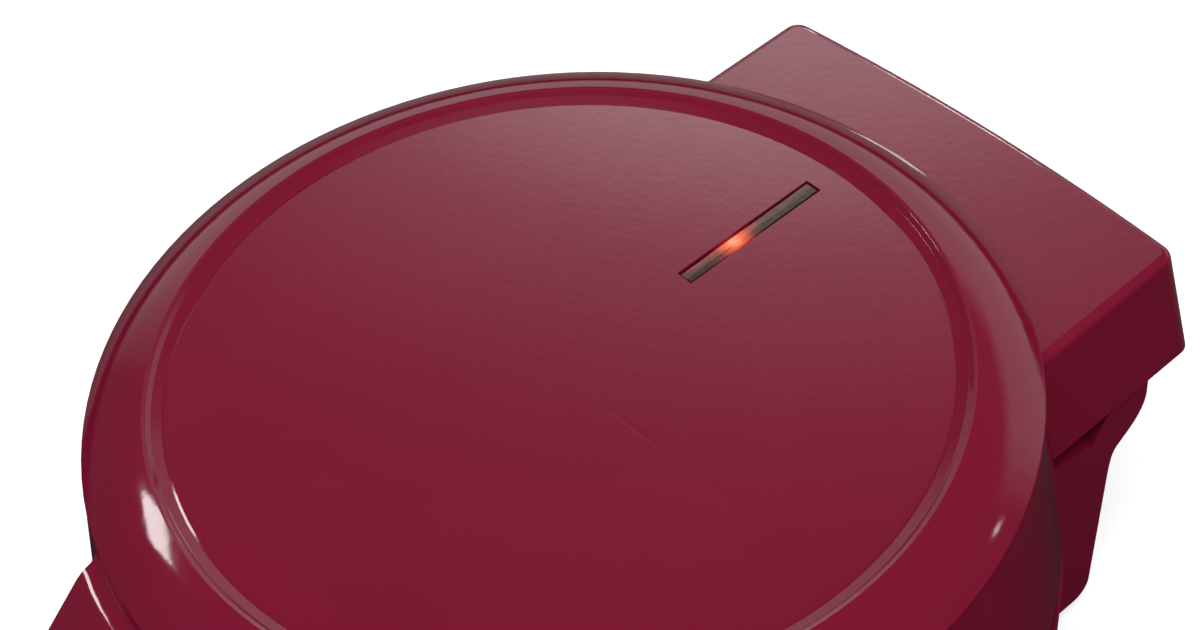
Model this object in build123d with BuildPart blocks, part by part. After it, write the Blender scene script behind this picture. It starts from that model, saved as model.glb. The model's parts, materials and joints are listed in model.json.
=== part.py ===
from build123d import *
import math
import os

# A mini waffle maker, modelled closed. Lengths are in millimetres and angles in degrees.
# The origin is on the ground under the centre of the round lid, +Z is up, the hinge is at +Y
# and the handle at -Y.

# Heights of the stack, from the ground up
foot_reach = 3.0
base_height = 37.2
rim_gap = 3.4
lid_height = 32.4
base_floor_z = foot_reach
base_rim_z = base_floor_z + base_height
lid_rim_z = base_rim_z + rim_gap
ridge_z = lid_rim_z + lid_height

# Mouldings
wall = 2.2
fit_gap = 0.5
contact_gap = 0.3
slide_gap = 0.15

# Lid dome: a sunk round panel with a fine lip, a stepped ramp up to a ridge, a curved shoulder, a
# crease and a skirt, each worked out inwards from the rim, and the rim outwards from the plates
plate_radius = 54.0
housing_margin = 9.8
shoulder_inset = 2.8
shoulder_width = 8.7
ridge_width = 0.5
ramp_width = 1.9
panel_drop = 1.0
panel_crown = 0.3
crown_flat = 6.0
ridge_dip = 0.06
ramp_fillet = 0.3
ridge_fillet = 0.2
step_width = 0.6
step_drop = 0.6
lip_width = 0.3
lip_drop = 0.1
shoulder_bulge = 0.72
shoulder_fillet = 0.5
shoulder_drop = 5.1
crease_depth = 0.5
crease_step = 0.25
rim_fillet = 0.8
lid_corner = 4.0
rim_radius = plate_radius + housing_margin
shoulder_radius = rim_radius - shoulder_inset
ridge_radius = shoulder_radius - shoulder_width
ridge_inner_radius = ridge_radius - ridge_width
step_radius = ridge_inner_radius - step_width
panel_radius = ridge_inner_radius - ramp_width
lip_radius = panel_radius - lip_width
panel_z = ridge_z - panel_drop
shoulder_z = ridge_z - shoulder_drop
crease_z = shoulder_z - crease_depth
step_z = ridge_z - ridge_dip - step_drop
roof_z = panel_z - wall

# Base rim and the hinge's axis, from which all that is behind the lid is worked out
base_proud = 0.2
hinge_offset = 9.5
body_overlap = 17.8
base_rim_radius = rim_radius + base_proud
hinge_y = base_rim_radius + hinge_offset

# Hinge box behind the lid
leg_half_width = 36.4
box_proud = 0.5
box_tail = 9.8
box_spread = 0.3
box_bow = 1.6
box_height = 19.5
box_reach = hinge_y + box_tail
box_half_width = leg_half_width + box_proud
box_front = rim_radius - body_overlap
box_side_draft = 1.4
box_rear_draft = 3.5
box_corner = 2.5
box_top_fillet = 1.3
box_roof_z = lid_rim_z + box_height

# Handles at the front
handle_length = 18.2
handle_half_width = 22.3
handle_narrowing = 1.5
handle_bow = 3.0
handle_root = 3.5
handle_corner = 9.0
handle_drop = 1.0
handle_shelf = 2.2
handle_nose_height = 10.0
handle_roll = 4.0
lower_handle_setback = 3.5
lower_handle_depth = 13.0
handle_bite = 0.3
handle_reach = rim_radius + handle_length
handle_front = rim_radius - body_overlap

# Base bowl and rear leg
base_waist_inset = 0.8
base_turn_height = 11.0
base_turn_inset = 11.7
base_waist_radius = base_rim_radius - base_waist_inset
base_foot_radius = base_waist_radius - base_turn_inset
leg_narrowing = 1.4
leg_overlap = 20.0
leg_top_drop = 0.4
leg_top_inset = 0.3
leg_knee_inset = 6.9
leg_shin_inset = 1.7
leg_ramp_inset = 7.5
leg_ramp_length = 3.8
leg_dip = 2.2
leg_dip_length = 9.4
leg_front = base_rim_radius - leg_overlap
leg_top_reach = hinge_y - leg_top_inset
leg_knee_reach = leg_top_reach - leg_knee_inset
leg_foot_reach = leg_knee_reach - leg_shin_inset
leg_ramp_end = leg_top_reach - leg_ramp_inset
leg_ramp_start = leg_ramp_end - leg_ramp_length
leg_knee_z = 31.8
leg_knee_round = 4.0
leg_knee_out = 2.2
leg_knee_rise = 1.9
leg_shoulder_in = 0.4
leg_shoulder_fall = 5.2
leg_calf_in = 2.2
leg_calf_fall = 7.7
leg_foot_fillet = 3.0
leg_top_z = lid_rim_z - leg_top_drop

# Bottom cover
cover_margin = 5.8
cover_radius = base_foot_radius - cover_margin
cover_thickness = 2.0
cover_ledge = 5.7
vent_length = 16.0
vent_width = 2.2
vent_pitch = 5.0
vent_count = 6
vent_offset = 13.0

# Hinge
hinge_drop = 0.2
hinge_z = lid_rim_z - hinge_drop
pin_radius = 2.0
pin_play = 0.05
pin_length = 8.5
knuckle_radius = 4.2
knuckle_inset = 11.6
knuckle_inner = leg_half_width - knuckle_inset
knuckle_width = 6.4
knuckle_side_gap = 0.3
lug_radius = 4.2
lug_thickness = 1.9
lug_floor_z = 34.0

# Plates, measured away from the plane on which the two plates close
closing_z = base_rim_z + 1.0
plate_gap = 0.4
plate_wall = 3.0
plate_depth = 7.0
plate_floor = 2.5
plate_rim_fillet = 0.6
peak_gap = 5.0
peak_pitch = 15.0
peak_count = 6
peak_side = 11.5
peak_taper = 18.0
peak_margin = 3.6
plate_boss_radius = 4.0
plate_boss_height = 4.0
plate_boss_inset = 10.0
plate_boss_place = plate_radius - plate_boss_inset
plate_boss_turn = 150.0
plate_boss_count = 3
back_height = plate_depth + plate_floor
boss_top = back_height + plate_boss_height

# Carriers, the dark rings that hold the plates
carrier_recess = 0.4
carrier_thickness = 2.0
collar_wall = 2.0
arm_thickness = 2.0
arm_width = 10.0
arm_overhang = 4.5
arm_inner = plate_boss_place - arm_overhang
collar_inner = plate_radius + contact_gap
collar_outer = collar_inner + collar_wall
arm_top = boss_top + arm_thickness

# Heaters, tubes bent to a ring that lies in a groove of the plate's back
heater_radius = 3.0
heater_inset = 24.0
heater_ring = plate_radius - heater_inset
heater_gap = 0.1
heater_sink = 0.4
heater_ridge = 4.0
heater_ridge_height = 3.0
heater_exit = 10.0
heater_bend = 8.0
heater_elbow = 6.0
heater_run = 2.5
heater_post = 4.1
heater_pin_radius = 1.2
heater_pin_length = 4.0
heater_level = back_height - heater_sink + heater_radius

# Heat shields
shield_thickness = 0.6
shield_inset = 4.0
shield_radius = plate_radius - shield_inset
shield_bore = 23.0
shield_slot = 4.0
shield_flange = 2.0

# Screws
screw_radius = 1.4
screw_head_radius = 2.7
screw_head_height = 1.7
pilot_radius = 1.45
shank_hole_radius = 1.7
cross_length = 3.0
cross_width = 0.7
cross_depth = 0.9
boss_radius = 3.4
pilot_depth = 8.0
screw_length = 7.0
box_boss_inset = 18.3
box_boss_side = 16.9
handle_boss_inset = 11.0
handle_boss_side = 7.3
lower_handle_boss_inset = 9.5
leg_boss_inset = 4.6
leg_boss_side = 10.4
cover_boss_inset = 3.2
cover_post_height = 10.2

# Indicator light
lens_width = 2.4
lens_length = 23.6
lens_inset = 15.9
lens_centre = panel_radius - lens_inset
lens_gap = 0.12
lens_sink = 0.2
lens_chamfer = 0.3
lens_flange = 1.5
lens_flange_thickness = 1.2
lamp_radius = 2.2
lamp_length = 12.0
lamp_offset = 2.0
lamp_centre = lens_centre - lamp_offset
lamp_drop = 3.2
tray_wall = 1.2
tray_depth = 7.0
ear_length = 7.2
ear_thickness = 1.8
resistor_radius = 1.3
resistor_length = 5.5

# Thermostat and thermal fuse
thermostat_cup_radius = 8.0
thermostat_cup_height = 2.2
thermostat_radius = 7.0
thermostat_height = 6.8
strip_half_length = 17.0
strip_width = 9.0
strip_thickness = 0.8
strip_screw_place = 13.0
strip_boss_radius = 2.8
blade_place = 4.5
blade_width = 3.2
blade_thickness = 0.8
blade_length = 5.2
fuse_radius = 2.0
fuse_length = 11.0
fuse_lead_radius = 0.6
fuse_lead_length = 2.0
fuse_y = -12.5
clip_width = 6.0
clip_thickness = 0.6
clip_screw_y = -18.5
short_screw_length = 3.0
short_pilot_depth = 3.4

# Feet, gland and leads
foot_radius = 5.5
foot_seat_depth = 0.8
front_foot_side = 17.7
front_foot_inset = 19.7
rear_foot_side = 9.4
rear_foot_inset = 7.6
front_foot_x = cover_radius - front_foot_side
front_foot_y = front_foot_inset - cover_radius
rear_foot_x = leg_half_width - rear_foot_side
rear_foot_y = leg_foot_reach - rear_foot_inset
rear_foot_length = 15.0
rear_foot_width = 9.0
gland_drop = 29.4
gland_z = hinge_z - gland_drop
gland_bore = 3.3
gland_radius = 5.0
gland_flange_radius = 7.0
gland_flange = 1.8
gland_tail = 4.0
gland_sink = 0.2
clamp_width = 25.0
clamp_depth = 6.0
clamp_height = 5.5
clamp_inset = 9.6
clamp_y = leg_foot_reach - clamp_inset
clamp_screw_place = 9.2
clamp_post_radius = 3.0
lead_radius = 1.1
lead_bend = 2.4
core_radius = 0.75
core_bend = 1.3
core_offset = 0.8
sleeve_radius = 1.6
sleeve_x = 7.0
sleeve_room = 0.6
lead_notch_depth = 6.2
crimp_radius = 2.1
crimp_length = 8.0
crimp_x = 4.0
crimp_inset = 21.1
crimp_drop = 22.1
crimp_y = leg_foot_reach - crimp_inset
crimp_z = hinge_z - crimp_drop

# Routes of the leads
lead_aside = 12.0
lead_drop = 27.9
live_turn = 8.5
live_side_y = 24.0
neutral_turn = 6.5
neutral_side_y = 33.5
terminal_drop = 3.5
blade_drop = 4.5
sleeve_base_bend = 3.6
sleeve_lid_bend = 1.8
sleeve_rise_inset = 4.1
sleeve_rise_low = 19.4
sleeve_rise_high = 9.4
sleeve_box_rise = 10.6
sleeve_turn_inset = 9.5
sleeve_over_margin = 0.7
sleeve_step_margin = 1.3
sleeve_lift = 0.8
sleeve_step = 4.5
core_run = 2.7
core_turn_gap = 4.8
core_climb = 2.5
core_dip = 1.0
core_rise = 3.0
lead_low_z = hinge_z - lead_drop
sleeve_rise_y = leg_foot_reach - sleeve_rise_inset

closing_plane = Plane.XY.offset(closing_z)
lower_seat = (Align.CENTER, Align.CENTER, Align.MIN)
upper_seat = (Align.CENTER, Align.CENTER, Align.MAX)
os.makedirs("parts", exist_ok=True)


def save(part, name):
    """Labels a finished piece and writes it to its own file."""
    part.label = name
    export_step(part, f"parts/{name}.step")


def level(z):
    """A level plane at a height."""
    return Plane.XY.offset(z)


def facing_down(x, y, z):
    """A plane whose normal points down, for what is fastened from below."""
    return Plane(origin=(x, y, z), x_dir=(1, 0, 0), z_dir=(0, 0, -1))


def facing_up(x, y, z):
    """A plane whose normal points up, for what is fastened from above."""
    return Plane(origin=(x, y, z), x_dir=(1, 0, 0), z_dir=(0, 0, 1))


def add_post(place, radius, length):
    """A round post that grows from a plane along its normal."""
    with Locations(place):
        Cylinder(radius, length, align=lower_seat)


def cut_hole(place, radius, depth):
    """A round hole that goes into a plane, against its normal."""
    with Locations(place):
        Cylinder(radius, depth, align=upper_seat, mode=Mode.SUBTRACT)


def add_pan_screw(place, length):
    """A pan head screw whose head stands on a plane and whose shank goes in."""
    with Locations(place):
        Cylinder(screw_radius, length, align=upper_seat)
        Cylinder(screw_head_radius, screw_head_height, align=lower_seat)
    cut_cross(place.offset(screw_head_height))


def add_flat_screw(place, length):
    """A countersunk screw whose flat head lies just under a plane."""
    with Locations(place.offset(-slide_gap)):
        Cylinder(screw_radius, length, align=upper_seat)
        Cone(screw_radius, screw_head_radius, screw_head_radius - screw_radius, align=upper_seat)
    cut_cross(place.offset(-slide_gap))


def cut_cross(place):
    """The cross recess of a screw head."""
    with Locations(place):
        Box(cross_length, cross_width, cross_depth, align=upper_seat, mode=Mode.SUBTRACT)
        Box(cross_width, cross_length, cross_depth, align=upper_seat, mode=Mode.SUBTRACT)


def cut_countersink(place, depth):
    """The countersunk hole that a flat screw passes through."""
    sink = screw_head_radius - screw_radius + slide_gap
    with Locations(place):
        Cylinder(shank_hole_radius, depth, align=upper_seat, mode=Mode.SUBTRACT)
        Cone(
            shank_hole_radius,
            shank_hole_radius + sink,
            sink,
            align=upper_seat,
            mode=Mode.SUBTRACT,
        )


def add_lead(points, radius, bend):
    """A round lead along straight runs joined by arcs."""
    with BuildLine() as route:
        FilletPolyline(*points, radius=bend)
    path = route.line
    with BuildSketch(Plane(origin=path @ 0, z_dir=path % 0)) as section:
        Circle(radius)
    sweep(section.sketch, path=path)


def corner_at(sketch, first, second):
    """The corner of a sketch that is nearest to a point given in the sketch's own directions."""
    return sketch.vertices().sort_by_distance((first, second, 0))[0]


def box_plan(z, inset):
    """Outline of the hinge box on a level plane; its sides and its rear lean in with the height."""
    rise = (z - lid_rim_z) / box_height
    rear = box_reach - inset - box_rear_draft * rise
    half = box_half_width - inset - box_side_draft * rise
    with BuildSketch(level(z)) as plan:
        with BuildLine():
            Polyline(
                (-half, rear - box_bow),
                (-half - box_spread, box_front),
                (half + box_spread, box_front),
                (half, rear - box_bow),
            )
            ThreePointArc((half, rear - box_bow), (0, rear), (-half, rear - box_bow))
        make_face()
        fillet(plan.vertices().group_by(Axis.Y)[-1], radius=max(box_corner - inset, wall / 2))
    return plan.sketch


def skirt_radius(z):
    """Outer radius of the lid's flared skirt at a height."""
    top = shoulder_radius - crease_step
    return rim_radius - (rim_radius - top) * (z - lid_rim_z) / (crease_z - lid_rim_z)


def bowl_radius(z):
    """Outer radius of the base bowl's upright wall at a height."""
    low = base_floor_z + base_turn_height
    return base_waist_radius + (base_rim_radius - base_waist_radius) * (z - low) / (base_rim_z - low)


def handle_plan(z, inset, round_radius, reach):
    """Outline of a handle on a level plane, with hollow corners where it meets the round body."""
    half = handle_half_width - inset
    tip = half - handle_narrowing
    root = handle_root + inset
    body = round_radius - handle_bite - inset
    root_y = math.sqrt((body + root) ** 2 - (half + root) ** 2)
    share = body / (body + root)
    meet = ((half + root) * share, -root_y * share)
    half_turn = math.atan2(root_y, half + root) / 2
    middle = (half + root - root * math.cos(half_turn), -root_y + root * math.sin(half_turn))
    front = -reach + inset
    with BuildSketch(level(z)) as plan:
        with BuildLine():
            Line((-meet[0], -handle_front), (meet[0], -handle_front))
            Line((meet[0], -handle_front), meet)
            ThreePointArc(meet, middle, (half, -root_y))
            Line((half, -root_y), (tip, front + handle_bow))
            ThreePointArc((tip, front + handle_bow), (0, front), (-tip, front + handle_bow))
            Line((-tip, front + handle_bow), (-half, -root_y))
            ThreePointArc((-half, -root_y), (-middle[0], middle[1]), (-meet[0], meet[1]))
            Line((-meet[0], meet[1]), (-meet[0], -handle_front))
        make_face()
        fillet(plan.vertices().group_by(Axis.Y)[0], radius=handle_corner - inset)
    return plan.sketch


def lid_handle_side(inset):
    """Half section of the lid's handle, turned about the lid's axis: a narrow shelf, a rolled edge
    and a slope that runs on past the nose."""
    top = crease_z - handle_drop - inset
    shelf_end = shoulder_radius + handle_shelf - inset
    nose_top = lid_rim_z + handle_nose_height - inset
    slope = (top - nose_top) / (handle_reach - shelf_end)
    with BuildSketch(Plane.XZ) as side:
        with BuildLine():
            Polyline(
                (0, lid_rim_z),
                (0, top),
                (shelf_end, top),
                (handle_reach + wall, nose_top - slope * wall),
                (handle_reach + wall, lid_rim_z),
                close=True,
            )
        make_face()
        fillet(corner_at(side, shelf_end, top), radius=handle_roll - inset)
    return side.sketch


def lid_handle(inset):
    """The lid's handle, or its hollow where an inset is given."""
    top = crease_z
    with BuildPart() as body:
        lower = handle_plan(lid_rim_z, inset, skirt_radius(lid_rim_z), handle_reach)
        upper = handle_plan(top, inset, skirt_radius(top), handle_reach)
        loft([lower, upper])
        revolve(lid_handle_side(inset), axis=Axis.Z, mode=Mode.INTERSECT)
    return body.part


def base_handle(inset):
    """The base's handle, which slopes up to its nose, or its hollow."""
    reach = lower_reach
    low = base_floor_z + base_turn_height
    with BuildPart() as body:
        lower = handle_plan(low, inset, bowl_radius(low), reach)
        upper = handle_plan(base_rim_z, inset, base_rim_radius, reach)
        loft([lower, upper])
        with BuildSketch(Plane.YZ) as side:
            with BuildLine():
                Polyline(
                    (-handle_front, base_rim_z),
                    (-handle_front, low + inset),
                    (-base_waist_radius + handle_root, low + inset),
                    (-reach - inset, base_rim_z - lower_handle_depth + inset),
                    (-reach - inset, base_rim_z),
                    close=True,
                )
            make_face()
        extrude(side.sketch, amount=handle_reach, both=True, mode=Mode.INTERSECT)
    return body.part


def hinge_box(inset):
    """The hinge box behind the lid, or its hollow where an inset is given."""
    top = box_roof_z - inset
    with BuildPart() as body:
        loft([box_plan(lid_rim_z, inset), box_plan(top, inset)])
        roof = body.faces().sort_by(Axis.Z)[-1]
        fillet(roof.edges().group_by(Axis.Y)[1:], radius=max(box_top_fillet - inset, wall / 4))
    return body.part


def leg_side(inset):
    """Side profile of the rear leg: a flat top, a rounded shoulder, a hollow knee and a long shin.
    Only the outer profile dips in front of the ramp."""
    dip = 0 if inset else leg_dip
    top_reach = leg_top_reach - inset
    knee = leg_knee_reach - inset
    knee_low = leg_knee_z - leg_knee_round
    foot = leg_foot_reach - inset
    low = base_floor_z + inset
    with BuildSketch(Plane.YZ) as side:
        with BuildLine():
            Polyline(
                (leg_front, low),
                (leg_front, base_rim_z),
                (leg_ramp_start - leg_dip_length, base_rim_z),
                (leg_ramp_start, base_rim_z - dip),
                (leg_ramp_end, leg_top_z),
                (top_reach, leg_top_z),
            )
            Spline(
                (top_reach, leg_top_z),
                (top_reach - leg_shoulder_in, leg_top_z - leg_shoulder_fall),
                (top_reach - leg_calf_in, leg_top_z - leg_calf_fall),
                (knee + leg_knee_out, leg_knee_z + leg_knee_rise),
                (knee, knee_low),
                tangents=[(0, -1), (foot - knee, low - knee_low)],
            )
            Polyline((knee, knee_low), (foot, low), (leg_front, low))
        make_face()
        fillet(corner_at(side, foot, low), radius=leg_foot_fillet)
    return side.sketch


def leg_plan(z, inset):
    """Outline of the rear leg on a level plane; it narrows towards the foot."""
    drop = (leg_top_z - z) / (leg_top_z - base_floor_z)
    half = leg_half_width - inset - leg_narrowing * drop
    depth = leg_top_reach - inset - leg_front
    with BuildSketch(level(z)) as plan:
        with Locations((0, leg_front + depth / 2)):
            Rectangle(2 * half, depth)
    return plan.sketch


def rear_leg(inset):
    """The rear leg, or its hollow where an inset is given."""
    low = base_floor_z + inset
    with BuildPart() as body:
        loft([leg_plan(low, inset), leg_plan(leg_top_z, inset)])
        extrude(leg_side(inset), amount=2 * leg_half_width, both=True, mode=Mode.INTERSECT)
    return body.part


def heater_route():
    """The line of the upper heater: post, elbow, exit run, bend, ring, and the same back."""
    far = heater_ring + heater_bend
    aside = heater_exit + heater_bend
    turn_y = math.sqrt(far ** 2 - aside ** 2)
    share = heater_ring / far
    join = (aside * share, turn_y * share)
    half_turn = math.atan2(turn_y, aside) / 2
    middle = (aside - heater_bend * math.cos(half_turn), turn_y - heater_bend * math.sin(half_turn))
    z = closing_z + heater_level
    run_y = turn_y + heater_run
    elbow_y = run_y + heater_elbow
    slant = heater_elbow * math.sqrt(0.5)
    top = z + heater_elbow + heater_post
    with BuildLine() as route:
        Line((heater_exit, elbow_y, top), (heater_exit, elbow_y, z + heater_elbow))
        ThreePointArc(
            (heater_exit, elbow_y, z + heater_elbow),
            (heater_exit, run_y + slant, z + heater_elbow - slant),
            (heater_exit, run_y, z),
        )
        Line((heater_exit, run_y, z), (heater_exit, turn_y, z))
        ThreePointArc((heater_exit, turn_y, z), (middle[0], middle[1], z), (join[0], join[1], z))
        ThreePointArc((join[0], join[1], z), (0, -heater_ring, z), (-join[0], join[1], z))
        ThreePointArc((-join[0], join[1], z), (-middle[0], middle[1], z), (-heater_exit, turn_y, z))
        Line((-heater_exit, turn_y, z), (-heater_exit, run_y, z))
        ThreePointArc(
            (-heater_exit, run_y, z),
            (-heater_exit, run_y + slant, z + heater_elbow - slant),
            (-heater_exit, elbow_y, z + heater_elbow),
        )
        Line((-heater_exit, elbow_y, z + heater_elbow), (-heater_exit, elbow_y, top))
    return route.line


def heater_tube(radius):
    """A round tube along the heater's line."""
    path = heater_route()
    with BuildPart() as tube:
        with BuildSketch(Plane(origin=path @ 0, z_dir=path % 0)) as section:
            Circle(radius)
        sweep(section.sketch, path=path)
    return tube.part


# Places that several pieces share
boss_turns = [plate_boss_turn + 360.0 / plate_boss_count * i for i in range(plate_boss_count)]
plate_boss_spots = [
    (plate_boss_place * math.cos(math.radians(t)), plate_boss_place * math.sin(math.radians(t)))
    for t in boss_turns
]
box_boss_x = box_half_width - box_boss_side
handle_boss_x = handle_half_width - handle_boss_side
leg_boss_x = leg_half_width - leg_boss_side
lower_reach = handle_reach - lower_handle_setback
cover_boss_place = cover_radius - cover_boss_inset
box_boss_spots = [(x, box_reach - box_boss_inset) for x in (-box_boss_x, box_boss_x)]
handle_boss_spots = [(x, handle_boss_inset - handle_reach) for x in (-handle_boss_x, handle_boss_x)]
leg_boss_spots = [(x, leg_foot_reach - leg_boss_inset) for x in (-leg_boss_x, leg_boss_x)]
lower_handle_boss_spots = [
    (x, lower_handle_boss_inset - lower_reach) for x in (-handle_boss_x, handle_boss_x)
]
cover_spots = [
    (-cover_boss_place, 0.0),
    (cover_boss_place, 0.0),
    (0.0, -cover_boss_place),
    (0.0, cover_boss_place),
]
knuckle_sides = [-knuckle_inner - knuckle_width, knuckle_inner]
lug_inner = knuckle_inner + knuckle_width + knuckle_side_gap
lug_bore_end = lug_inner + lug_thickness + pin_play
carrier_z = lid_rim_z + carrier_recess
carrier_top = carrier_z + carrier_thickness
base_carrier_top = base_rim_z - carrier_recess
cradle_height = tray_depth - lamp_drop - lamp_radius
resistor_start = lamp_centre + lamp_length / 2 + tray_wall
lamp_cradles = [lamp_centre - lamp_length / 4, lamp_centre + lamp_length / 4]
resistor_cradles = [resistor_start + resistor_length / 4, resistor_start + resistor_length * 3 / 4]
blade_top_z = closing_z - back_height - thermostat_cup_height - thermostat_height
gland_body = wall + gland_tail
lens_panel_share = (lens_centre - crown_flat) / (lip_radius - crown_flat)
lens_panel_z = panel_z + panel_crown * (1 - lens_panel_share ** 2)
lens_top_z = lens_panel_z - lens_sink
lens_flange_z = roof_z - lens_flange_thickness
resistor_z = lens_flange_z - lamp_drop - lamp_radius + resistor_radius
tray_half_length = lens_length / 2 + lens_flange + tray_wall + slide_gap
tray_half_width = lens_width / 2 + lens_flange + tray_wall + slide_gap
ear_reach = tray_half_length + ear_length
tray_ear_places = [lens_centre - ear_reach + boss_radius, lens_centre + ear_reach - boss_radius]
ear_top_z = lens_flange_z - ear_thickness
base_carrier_bottom = base_carrier_top - carrier_thickness
knuckle_clear = knuckle_radius + fit_gap
lead_notch_half = sleeve_x + sleeve_radius + 2 * sleeve_room
gland_seat_y = leg_foot_reach - gland_sink
gland_plane = Plane(origin=(0, gland_seat_y, gland_z), x_dir=(1, 0, 0), z_dir=(0, 1, 0))
lower_back_z = closing_z - back_height
strip_top_z = lower_back_z - thermostat_cup_height
clip_boss_height = 2 * fuse_radius + slide_gap
clip_top_z = lower_back_z - clip_boss_height
heater_turn_y = math.sqrt((heater_ring + heater_bend) ** 2 - (heater_exit + heater_bend) ** 2)
heater_end_y = heater_turn_y + heater_run + heater_elbow
heater_end_z = closing_z + heater_level + heater_elbow + heater_post
core_turn_y = heater_end_y + core_turn_gap
core_start_y = core_turn_y + core_run
plate_screw_length = shield_thickness + arm_thickness + plate_boss_height
sleeve_slot_half = sleeve_x + sleeve_radius + sleeve_room
sleeve_slot_depth = sleeve_radius + 2 * sleeve_room
base_cover_half = leg_half_width - leg_narrowing - wall - contact_gap
base_cover_reach = leg_top_reach - 2 * lug_radius - contact_gap
base_cover_tail = leg_top_reach - wall - 2 * fit_gap - contact_gap
upper_back_z = closing_z + back_height


def knuckle_bar(start, width, radius, mode=Mode.ADD):
    """A round bar along the hinge's axis."""
    with Locations(Plane(origin=(start, hinge_y, hinge_z), z_dir=(1, 0, 0))):
        Cylinder(radius, width, align=lower_seat, mode=mode)


def post_inside(place, room):
    """A screw post that grows from a plane until it ends inside the wall of its housing."""
    with BuildPart() as post:
        add_post(place, boss_radius, base_height)
        add(room, mode=Mode.INTERSECT)
    return post.part


# Lid shell, the glossy moulding with the sunk panel, the hinge box and the handle
shoulder_chord = math.hypot(shoulder_width, shoulder_drop)
shoulder_middle = (
    (ridge_radius + shoulder_radius) / 2 + shoulder_bulge * shoulder_drop / shoulder_chord,
    (ridge_z + shoulder_z) / 2 + shoulder_bulge * shoulder_width / shoulder_chord,
)
outer_box = hinge_box(0)
inner_box = hinge_box(wall)
outer_handle = lid_handle(0)
inner_handle = lid_handle(wall)
handle_room = lid_handle(wall / 2)

with BuildPart() as lid_shell:
    with BuildSketch(Plane.XZ) as dome:
        with BuildLine():
            Line((0, panel_z + panel_crown), (crown_flat, panel_z + panel_crown))
            TangentArc((crown_flat, panel_z + panel_crown), (lip_radius, panel_z), tangent=(1, 0))
            Polyline(
                (lip_radius, panel_z),
                (panel_radius, panel_z - lip_drop),
                (step_radius, step_z),
                (ridge_inner_radius, ridge_z - ridge_dip),
                (ridge_radius, ridge_z),
            )
            ThreePointArc((ridge_radius, ridge_z), shoulder_middle, (shoulder_radius, shoulder_z))
            Line((shoulder_radius, shoulder_z), (shoulder_radius - crease_depth, crease_z))
            Line((shoulder_radius - crease_depth, crease_z), (shoulder_radius - crease_step, crease_z))
            Line((shoulder_radius - crease_step, crease_z), (rim_radius, lid_rim_z))
            Polyline((rim_radius, lid_rim_z), (0, lid_rim_z), (0, panel_z + panel_crown))
        make_face()
        fillet(corner_at(dome, step_radius, step_z), radius=ramp_fillet)
        fillet(corner_at(dome, ridge_inner_radius, ridge_z - ridge_dip), radius=ridge_fillet)
        fillet(corner_at(dome, shoulder_radius, shoulder_z), radius=shoulder_fillet)
        fillet(corner_at(dome, rim_radius, lid_rim_z), radius=rim_fillet)
    revolve(axis=Axis.Z)
    add(outer_box)
    add(outer_handle)
    with BuildSketch(Plane.XZ) as hollow:
        with BuildLine():
            Polyline(
                (0, lid_rim_z),
                (rim_radius - wall, lid_rim_z),
                (shoulder_radius - wall, shoulder_z - wall),
                (shoulder_radius - wall, roof_z),
                (0, roof_z),
                close=True,
            )
        make_face()
        fillet(corner_at(hollow, shoulder_radius - wall, roof_z), radius=lid_corner)
    revolve(axis=Axis.Z, mode=Mode.SUBTRACT)
    add(inner_box, mode=Mode.SUBTRACT)
    add(inner_handle, mode=Mode.SUBTRACT)
    for x, y in box_boss_spots:
        add_post(facing_up(x, y, carrier_top), boss_radius, box_roof_z - wall / 2 - carrier_top)
    for x, y in handle_boss_spots:
        add(post_inside(facing_up(x, y, carrier_top), handle_room))
    for x, y in box_boss_spots + handle_boss_spots:
        cut_hole(facing_down(x, y, carrier_top), pilot_radius, pilot_depth)
    with BuildSketch(level(roof_z)) as slot:
        with Locations((0, lens_centre)):
            Rectangle(lens_width + 2 * lens_gap, lens_length + 2 * lens_gap)
    extrude(amount=lid_height, mode=Mode.SUBTRACT)
    for y in tray_ear_places:
        add_post(facing_up(0, y, ear_top_z), boss_radius, roof_z - ear_top_z)
        cut_hole(facing_down(0, y, ear_top_z), pilot_radius, pilot_depth / 2)
save(lid_shell.part, "lid_shell")

# Base shell, the lower bowl with the rear leg, the lower handle and the hinge lugs
outer_leg = rear_leg(0)
inner_leg = rear_leg(wall)
outer_base_handle = base_handle(0)
inner_base_handle = base_handle(wall)
base_handle_room = base_handle(wall / 2)
turn_z = base_floor_z + base_turn_height
cover_top_z = base_floor_z + cover_thickness
ledge_top_z = cover_top_z + wall


def bowl_side(inset, floor_z):
    """Half section of the base bowl: an upright wall that turns under to a flat floor."""
    lean = (base_waist_radius - base_rim_radius, turn_z - base_rim_z)
    with BuildSketch(Plane.XZ) as side:
        with BuildLine():
            Polyline(
                (base_foot_radius - inset, floor_z),
                (0, floor_z),
                (0, base_rim_z),
                (base_rim_radius - inset, base_rim_z),
                (base_waist_radius - inset, turn_z),
            )
            TangentArc(
                (base_waist_radius - inset, turn_z),
                (base_foot_radius - inset, floor_z),
                tangent=lean,
            )
        make_face()
    return side.sketch


def hinge_lug(start):
    """A thick lug inside one side wall of the leg, which holds the end of a hinge pin."""
    with BuildPart() as lug:
        with Locations((start, leg_top_reach - 2 * lug_radius, lug_floor_z)):
            Box(
                leg_half_width - lug_inner,
                2 * lug_radius,
                leg_top_z - lug_floor_z,
                align=Align.MIN,
            )
        add(rear_leg(wall / 4), mode=Mode.INTERSECT)
    return lug.part


def hinge_ear(start):
    """The round ear on top of a lug, which rises into the hinge box and wraps the pin."""
    with BuildPart() as ear:
        with Locations((start, hinge_y - lug_radius, lug_floor_z)):
            Box(
                lug_thickness,
                lug_radius - (hinge_y - leg_top_reach),
                hinge_z - lug_floor_z,
                align=Align.MIN,
            )
        add(rear_leg(wall / 4), mode=Mode.INTERSECT)
        knuckle_bar(start, lug_thickness, lug_radius)
    return ear.part


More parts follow.
